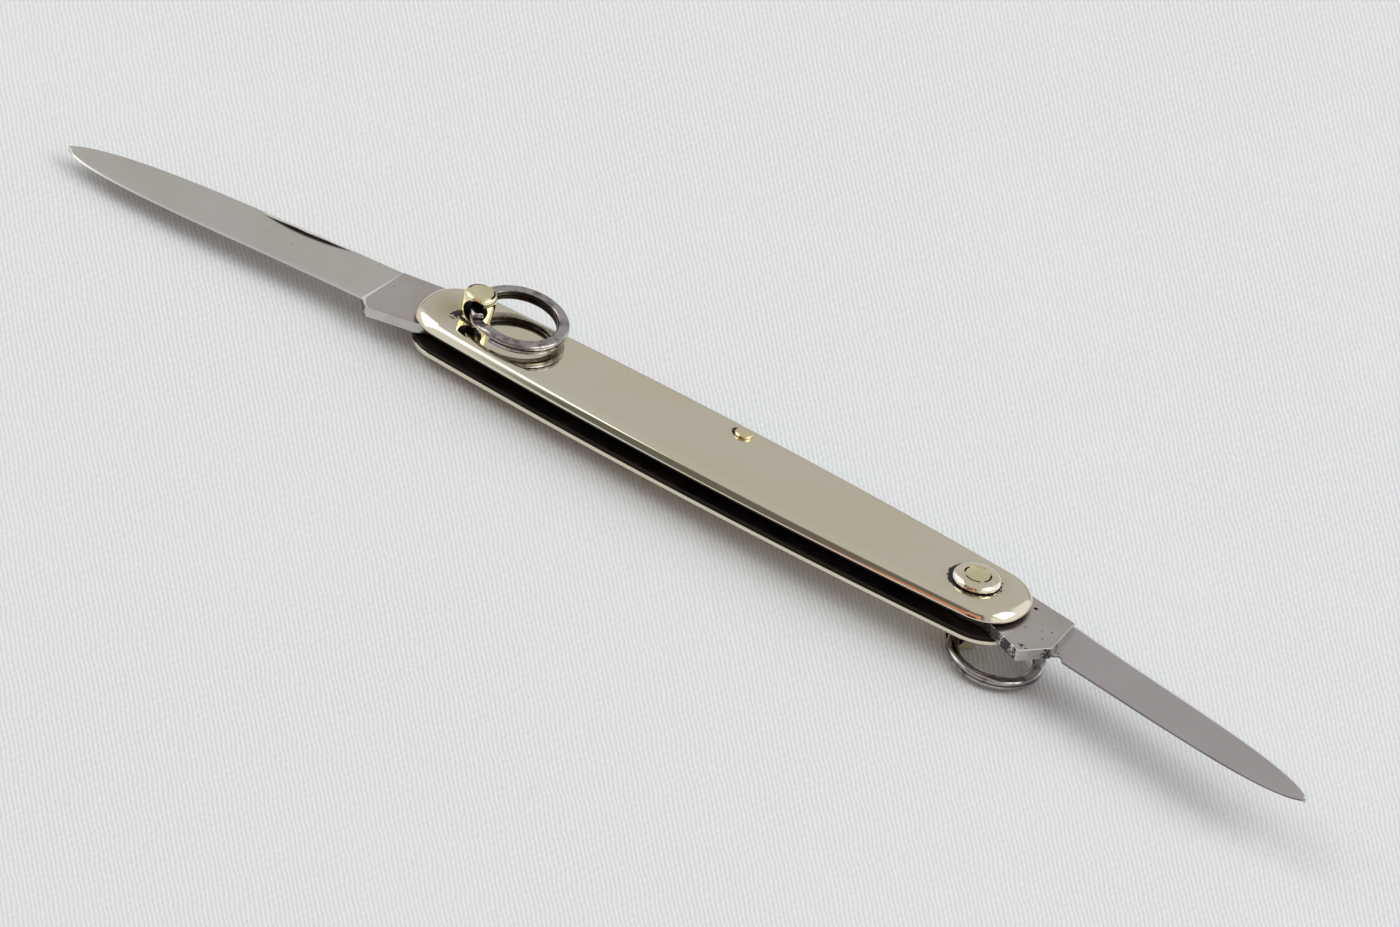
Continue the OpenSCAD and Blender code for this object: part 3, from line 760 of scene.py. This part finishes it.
long_sizes = Blade(
    length=48 * MM, drop=4.8 * MM, plunge=10.9 * MM, back=3.14 * MM, depth=7.25 * MM,
    spine_slope=0.112, edge_slope=0.061, point_v=-0.2 * MM, low=BLADE_GAP / 2,
    kick=(10.1 * MM, -5.45 * MM), kick_round=0.35 * MM, lip=(4.7 * MM, -3.9 * MM),
    plunge_spine=10.6 * MM, plunge_edge=10.87 * MM, plunge_run=0.75 * MM,
    tang_back=3.14 * MM, tang_low=-0.5 * MM, tang_high=0.76 * MM, swedge=(0.02, 0.05 * MM))
short_sizes = Blade(
    length=43.5 * MM, drop=3.55 * MM, plunge=10.9 * MM, back=4.45 * MM, depth=6.4 * MM,
    spine_slope=0.192, edge_slope=0.129, point_v=0.3 * MM, low=-BLADE_GAP / 2 - BLADE_T,
    kick=(8.8 * MM, -5.3 * MM), kick_round=0.1 * MM, lip=(4.6 * MM, -3.5 * MM),
    plunge_spine=10.35 * MM, plunge_edge=11.05 * MM, plunge_run=0.12 * MM,
    tang_back=3.85 * MM, tang_low=-0.74 * MM, tang_high=0.62 * MM, swedge=(0.058, 0.11 * MM))
LONG_NICK = (NICK_MID, NICK_L, NICK_W, NICK_SLOPE, NICK_DEPTH)
# The round notch in the short blade's edge: distance from the pivot, half width and depth
SHORT_NOTCH = (11.95 * MM, 0.5 * MM, 0.55 * MM)


def blade_plate(b, nick=None, notch=None):
    """The ground plate of a blade: a divided block whose s runs along it and t from spine to edge, with
    closer rows near the spine. It thins from the spine to the start of the sharp edge, then to the edge."""
    rows = 230
    columns = 39
    crowding = 1.5
    dark_edge_from = 0.965
    sharp_from = 0.95
    spine_half = BLADE_T / 2
    sharp_half = 0.12 * MM
    edge_half = 0.012 * MM
    mid = b.low + spine_half
    bm = bmesh.new()
    bmesh.ops.create_cube(bm, size=1)
    along = [e for e in bm.edges if abs(e.verts[0].co.x - e.verts[1].co.x) > 0.5]
    bmesh.ops.subdivide_edges(bm, edges=along, cuts=rows, use_grid_fill=True)
    across = [e for e in bm.edges if abs(e.verts[0].co.y - e.verts[1].co.y) > 0.5]
    bmesh.ops.subdivide_edges(bm, edges=across, cuts=columns, use_grid_fill=True)
    for f in bm.faces:
        middle = f.calc_center_median()
        t = clamp(0.5 - middle.y) ** crowding
        # The swedge's top faces take the plunge's painted highlight
        if b.painted_swedge_highlight and middle.z > 0.4 and t < b.swedge[0]:
            f.material_index = 3
        elif b.painted_swedge_highlight and t > dark_edge_from:
            f.material_index = 4
    for v in bm.verts:
        s = clamp(v.co.x + 0.5)
        t = clamp(0.5 - v.co.y) ** crowding
        side = 1 if v.co.z > 0 else -1
        sp = bezier(b.spine, s)
        ed = bezier(b.edge, s)
        if notch:
            off = (ed[0] - notch[0]) / notch[1]
            if abs(off) < 1:
                ed = (ed[0], ed[1] + notch[2] * sqrt(1 - off * off))
        u = sp[0] + (ed[0] - sp[0]) * t
        w = sp[1] + (ed[1] - sp[1]) * t
        if t < sharp_from:
            half = spine_half + (sharp_half - spine_half) * t / sharp_from
        else:
            half = sharp_half + (edge_half - sharp_half) * (t - sharp_from) / (1 - sharp_from)
        if side > 0:
            half -= b.swedge[1] * clamp(1 - t / b.swedge[0])
        z = mid + side * half
        if nick and side > 0:
            z -= nick_depth(u, w, nick)
        v.co = Vector((u, w, z))
    return bm


def nick_depth(u, v, nick):
    """Depth of the nail nick: a half moon with a steep wall along the spine's side."""
    middle, length, width, slope, depth = nick
    wall = 0.1 * MM
    du = u - middle[0]
    dv = v - middle[1]
    half = (du * cos(slope) + dv * sin(slope)) / (length / 2)
    below = du * sin(slope) - dv * cos(slope)
    reach = width * (1 - half * half)
    if abs(half) >= 1 or below <= 0 or below >= reach:
        return 0.0
    return depth * (1 - half * half) * clamp(below / wall) * (1 - below / reach)


def tang_plate(b):
    """The thick end of a blade round its pivot: the shoulder that meets the spring, the round cam, the flat
    that meets the spring when the blade is closed, the kick and the slanting plunge face."""
    cam_r = 3.15 * MM
    flat_r = 2.9 * MM
    shoulder = 2.8 * MM
    under = (3.3 * MM, -2.95 * MM)
    below_side = 0.15 * MM
    near = 0.01 * MM
    edge_lift = 0.35 * MM
    half = acos(flat_r / cam_r)
    closed = radians(90 + FOLD)
    side_y = HALF_W - SIDE_R
    shoulder_v = side_y + sqrt((SIDE_R - below_side) ** 2 - (PIVOT_X + shoulder) ** 2)
    middle_z = b.low + BLADE_T / 2
    outline = [(b.plunge_spine, b.tang_back), (shoulder, shoulder_v), (shoulder, flat_r)]
    outline += arc(0, 0, cam_r, pi / 2 + half, closed - half, 24)
    outline += [(cam_r * cos(closed + half), cam_r * sin(closed + half)), under, b.lip, b.kick,
                (b.plunge_edge, b.heel - 0.1 * MM)]
    bm = bmesh.new()
    rim = [bm.verts.new((u, v, b.tang_low)) for u, v in outline]
    floor = bm.faces.new(rim)
    lifted = bmesh.ops.extrude_face_region(bm, geom=[floor])
    raised = [g for g in lifted["geom"] if isinstance(g, bmesh.types.BMVert)]
    bmesh.ops.translate(bm, verts=raised, vec=(0, 0, b.tang_high - b.tang_low))
    bmesh.ops.bisect_plane(bm, geom=bm.verts[:] + bm.edges[:] + bm.faces[:], plane_co=(0, 0, middle_z),
                           plane_no=(0, 0, 1))
    for v in bm.verts:
        if abs(v.co.z - middle_z) < near and v.co.x > b.plunge_spine - near:
            if v.co.y < 0:
                v.co.y += edge_lift
            v.co.x += b.plunge_run
    corner = [e for e in bm.edges
              if all(hypot(v.co.x - b.kick[0], v.co.y - b.kick[1]) < near for v in e.verts)]
    round_edges(bm, corner, b.kick_round, segments=5)
    sharp = [e for e in bm.edges if len(e.link_faces) == 2 and e.calc_face_angle(0) > radians(20)]
    round_edges(bm, sharp, 0.08 * MM)
    return bm


def make_blade(name, b, body, x, mirrored, metals, nick=None, notch=None):
    """A blade and its tang. The metals are those of the blade's faces, the tang's faces, the tang's sides,
    the painted highlight on the plunge face and the swedge, and the dark line along the edge."""
    bm = blade_plate(b, nick, notch)
    tang = tang_plate(b)
    bmesh.ops.recalc_face_normals(tang, faces=tang.faces)
    for f in tang.faces:
        # The slanting plunge face takes the painted highlight
        slanted = 0.4 < f.normal.z < 0.965 and f.normal.x > 0.22
        f.material_index = 3 if slanted else 1 if abs(f.normal.z) > 0.9 else 2
    join(bm, tang)
    if mirrored:
        bmesh.ops.scale(bm, verts=bm.verts, vec=(-1, 1, 1))
    bmesh.ops.translate(bm, verts=bm.verts, vec=(x, 0, 0))
    return piece(name, bm, body, metals, [body])


make_blade("long_blade_ground", long_sizes, "long_blade", -PIVOT_X, True,
           [long_face, long_tang_face, long_tang_edge, plunge_highlight], nick=LONG_NICK)
make_blade("short_blade_ground", short_sizes, "short_blade", PIVOT_X, False,
           [short_face, short_tang_face, short_tang_edge, plunge_highlight, short_edge], notch=SHORT_NOTCH)


# The split rings

# Each ring's outer diameter and wire, the middle of the wire, and the distance between the two turns
RING_D = 10.6 * MM
WIRE_W = 1.3 * MM
WIRE_H = 0.6 * MM
RING_R = (RING_D - WIRE_W) / 2
PITCH = WIRE_H + 0.04 * MM
# How far the wire bends away inside its eye, how far the ring hangs out, and where its middle then is
RING_SAG = RING_R - sqrt(RING_R ** 2 - POST_R ** 2)
RING_OUT = 0.125 * MM
RING_PLACE = RING_R - RING_SAG / 2 + RING_OUT
# The wire's two ends and the climb from the lower turn to the upper one, in degrees round the ring
WIRE_START = 249
WIRE_END = 932
CLIMB_FROM = 574
CLIMB_OVER = 30
# Steps along the wire and round it
WIRE_STEPS = 341
WIRE_ROUND = 29


def wire_place(s, t):
    """A point of the wound wire: s along it, t round its D section, which is flat where the turns meet."""
    fullness = 0.85
    flat_reach = 2.2
    flat_height = 0.9
    a = WIRE_START + (WIRE_END - WIRE_START) * s
    climb = eased((a - CLIMB_FROM) / CLIMB_OVER)
    around = 2 * pi * t
    facing = 1 - 2 * climb
    wide = copysign(abs(cos(around)) ** fullness, cos(around))
    dome = -sin(around)
    flat = copysign(min(1, abs(dome) * flat_reach), dome) * flat_height
    up = dome if dome * facing < 0 else flat
    z = PITCH * (climb - 0.5) + WIRE_H / 2 * up
    r = RING_R + WIRE_W / 2 * wide
    return (r * cos(radians(a)), r * sin(radians(a)), z)


def make_ring(name, node, body, x, z, droop, turn, over):
    """A split ring that hangs from its eye: its far side dropped, turned with its post, rolled a little."""
    roll = radians(3)
    painted_shade_radius = RING_R - 0.4 * WIRE_W
    bm = wrapped_grid(WIRE_STEPS, WIRE_ROUND, wire_place)
    bmesh.ops.remove_doubles(bm, verts=bm.verts, dist=0.002 * MM)
    ends = [e for e in bm.edges if len(e.link_faces) == 1]
    bmesh.ops.holes_fill(bm, edges=ends, sides=0)
    bmesh.ops.recalc_face_normals(bm, faces=bm.faces)
    rims = [e for e in bm.edges if len(e.link_faces) == 2 and any(len(f.verts) > 6 for f in e.link_faces)]
    round_edges(bm, rims, 0.07 * MM)
    # The inner wall's faces take the painted shade
    for f in bm.faces:
        middle = f.calc_center_median()
        f.material_index = 1 if hypot(middle.x, middle.y) < painted_shade_radius else 0
    bmesh.ops.translate(bm, verts=bm.verts, vec=(RING_PLACE, 0, 0))
    place = (Matrix.Translation((x, 0, z)) @ Matrix.Rotation(turn, 4, "Z") @ Matrix.Rotation(droop, 4, "Y")
             @ Matrix.Rotation(roll + (pi if over else 0), 4, "X"))
    bmesh.ops.transform(bm, matrix=place, verts=bm.verts)
    return piece(name, bm, body, [ring_metal, ring_inner], [node], weighted=False)


FRONT_DROOP = radians(2.2)
BACK_DROOP = radians(5)
make_ring("front_ring_wire", "front_split_ring", "front_ring", -PIVOT_X, EYE_Z, FRONT_DROOP, FRONT_TURN,
          False)
make_ring("back_ring_wire", "back_split_ring", "back_ring", PIVOT_X, -EYE_Z, BACK_DROOP, BACK_TURN, True)

# The hidden plates and the spring keep their CAD shapes
KEPT = (("front_liner", liner_metal), ("back_liner", liner_metal), ("back_spring", spring_metal))
for node, material in KEPT:
    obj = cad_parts[node]
    obj.data.materials.clear()
    obj.data.materials.append(material)


# The cloth that the knife lies on: it touches the back collar at one end and the back post at the other

CLOTH_HALF = 0.9
RIB_TURN = radians(38.9)
RIB_PITCH = 0.51 * MM
THREAD_TURN = radians(-6)
THREAD_PITCH = 0.912 * MM
# The parts of the ribs, the threads and the fuzz in the cloth's height
RIB_PART = 1.15
THREAD_PART = 0.2
FUZZ_PART = 4.0


def make_cloth():
    """A flat cloth with fine ribs and crossing threads, tilted as the knife lies on it."""
    left = Vector((-PIVOT_X, 0, -FACE_Z - COLLAR_H - 0.1 * MM))
    right = Vector((PIVOT_X, 0, -POST_TOP - 0.02 * MM))
    slope = atan2(right.z - left.z, right.x - left.x)
    bm = bmesh.new()
    bmesh.ops.create_grid(bm, x_segments=2, y_segments=2, size=CLOTH_HALF)
    bmesh.ops.rotate(bm, verts=bm.verts, cent=(0, 0, 0), matrix=Matrix.Rotation(-slope, 3, "Y"))
    bmesh.ops.translate(bm, verts=bm.verts, vec=(left + right) / 2)
    mesh = bpy.data.meshes.new("cloth")
    bm.to_mesh(mesh)
    bm.free()
    obj = bpy.data.objects.new("cloth", mesh)
    bpy.context.scene.collection.objects.link(obj)
    m, n = new_material("pale_cloth")
    where = n.place()
    waver = n.between(n.noise(where, 160, 2), *BAND, -0.12 * MM, 0.12 * MM)
    across_rib = n.split(n.place(turn=(0, 0, -RIB_TURN)))[0]
    rib = n.math("SINE", n.math("MULTIPLY", n.math("ADD", across_rib, waver), 2 * pi / RIB_PITCH))
    across_thread = n.split(n.place(turn=(0, 0, -THREAD_TURN)))[0]
    thread = n.math("SINE", n.math("MULTIPLY", across_thread, 2 * pi / THREAD_PITCH))
    fuzz = n.noise(where, 2600, 3, 0.7)
    height = n.math("ADD", n.math("MULTIPLY", rib, RIB_PART), n.math("MULTIPLY", thread, THREAD_PART))
    height = n.math("ADD", height, n.math("MULTIPLY", n.math("SUBTRACT", fuzz, 0.5), FUZZ_PART))
    # The weave's hollows are painted darker and its tops lighter, painted shade of the ribs and threads,
    # with random fuzz in the tone
    color = n.mix(n.between(height, -2.2, 2.2), *CLOTH)
    color = n.mix(n.between(n.noise(where, 25, 2), *BAND, 0.0, 0.25), color, CLOTH_CLOUD)
    n.surface(color, 0.9, 0.0, n.bump(height, 0.3, 0.03 * MM))
    mesh.materials.append(m)


make_cloth()


# Light: two soft boxes, left and right, and a pale room with plain light and dark areas for the metals

# Direction across the plane where the left area of light ends
LEFT_WALL = (-0.907, 0.347, -0.239)
# The room's level below and above, and the heights between which it changes
ROOM_LOW = (0.57, 0.565, 0.55, 1)
ROOM_HIGH = (0.6, 0.594, 0.578, 1)
ROOM_FROM = 0.6
ROOM_TO = 0.74
BACKDROP = (0.78, 0.79, 0.79, 1.0)


def soft_box(name, azimuth, elevation, distance, side, power):
    """A square lamp that faces the origin, angles in degrees."""
    a = radians(azimuth)
    e = radians(elevation)
    lamp = bpy.data.lights.new(name, "AREA")
    lamp.shape = "SQUARE"
    lamp.size = side
    lamp.energy = power
    obj = bpy.data.objects.new(name, lamp)
    toward = Vector((cos(e) * cos(a), cos(e) * sin(a), sin(e)))
    obj.location = toward * distance
    obj.rotation_euler = toward.to_track_quat("Z", "Y").to_euler()
    bpy.context.scene.collection.objects.link(obj)


soft_box("left_box", 188, 42, 0.95, 0.8, 2.55)
soft_box("right_box", 19, 46, 0.95, 0.62, 2.6)


def room_light(w):
    """The room's light by direction."""
    direction = w.add("ShaderNodeTexCoord").outputs["Generated"]
    high = w.split(direction)[2]
    level = w.add("ShaderNodeVectorMath", operation="MULTIPLY")
    w.link(direction, level.inputs[0])
    level.inputs[1].default_value = (1, 1, 0)
    heading = w.add("ShaderNodeVectorMath", operation="NORMALIZE")
    w.link(level.outputs[0], heading.inputs[0])

    def along(vector, ahead):
        dot = w.add("ShaderNodeVectorMath", operation="DOT_PRODUCT")
        w.link(vector, dot.inputs[0])
        dot.inputs[1].default_value = ahead
        return dot.outputs["Value"]

    left_of_wall = w.between(along(direction, LEFT_WALL), -0.03, 0.02)
    grain = w.between(w.noise(direction, 18, 3), 0.3, 0.62, 0.45, 1.0)
    # Middle azimuth, reach of the full and the faded light to either side, elevations where it starts to
    # fade and where it ends, colour, and the pattern that thins it out
    areas = (
        (112, 50, 70, 4, 14, (0.36, 0.355, 0.345, 1), None),
        (-93, 32, 46, 53, 63, (0.17, 0.16, 0.14, 1), None),
        (-155, 46, 58, 48, 62, (0.84, 0.835, 0.82, 1), left_of_wall),
        (21, 51, 59, 38, 54, (0.98, 0.975, 0.97, 1), None),
        (-84, 14, 27, 30, 58, (0.78, 0.34, 0.2, 1), grain),
        (-88, 8, 17, 12, 38, (0.02, 0.017, 0.015, 1), grain))
    room = w.mix(w.between(high, ROOM_FROM, ROOM_TO), ROOM_LOW, ROOM_HIGH)
    for azimuth, full, faded, fade_from, fade_to, light, mask in areas:
        a = radians(azimuth)
        ahead = along(heading.outputs[0], (cos(a), sin(a), 0))
        beside = w.between(ahead, cos(radians(faded)), cos(radians(full)))
        below = w.between(high, sin(radians(fade_from)), sin(radians(fade_to)), 1.0, 0.0)
        near = w.math("MULTIPLY", beside, below)
        if mask is not None:
            near = w.math("MULTIPLY", near, mask)
        # A patchy area gets a hard edge
        if mask is grain:
            near = w.between(near, 0.24, 0.34)
        room = w.mix(near, room, light)
    return room


world = bpy.data.worlds.new("room")
bpy.context.scene.world = world
world.use_nodes = True
world.node_tree.nodes.clear()
w = Nodes(world.node_tree)
path = w.add("ShaderNodeLightPath")
room = w.mix(path.outputs["Is Camera Ray"], room_light(w), BACKDROP)
background = w.add("ShaderNodeBackground")
w.link(room, background.inputs["Color"])
background.inputs["Strength"].default_value = 1.0
w.link(background.outputs[0], w.add("ShaderNodeOutputWorld").inputs[0])


# The camera: its lens in pixels of the photograph, its place, and its right and down directions

PHOTO_W = 1400
SENSOR_MM = 36
FOCAL_PX = 30000
CAMERA_AT = Vector((1055.37, -2401.37, 1695.79)) * MM
RIGHT = Vector((0.83218, 0.51383, 0.20845))
DOWN = Vector((0.43920, -0.38131, -0.81345))

data = bpy.data.cameras.new("camera")
data.sensor_width = SENSOR_MM
data.lens = SENSOR_MM * FOCAL_PX / PHOTO_W
data.clip_start = 0.005
camera = bpy.data.objects.new("camera", data)
right = RIGHT.normalized()
up = -(DOWN - right * DOWN.dot(right)).normalized()
back = right.cross(up)
camera.matrix_world = Matrix(((right.x, up.x, back.x, CAMERA_AT.x),
                              (right.y, up.y, back.y, CAMERA_AT.y),
                              (right.z, up.z, back.z, CAMERA_AT.z),
                              (0, 0, 0, 1)))
bpy.context.scene.collection.objects.link(camera)
bpy.context.scene.camera = camera
bpy.context.scene.view_settings.view_transform = "Standard"
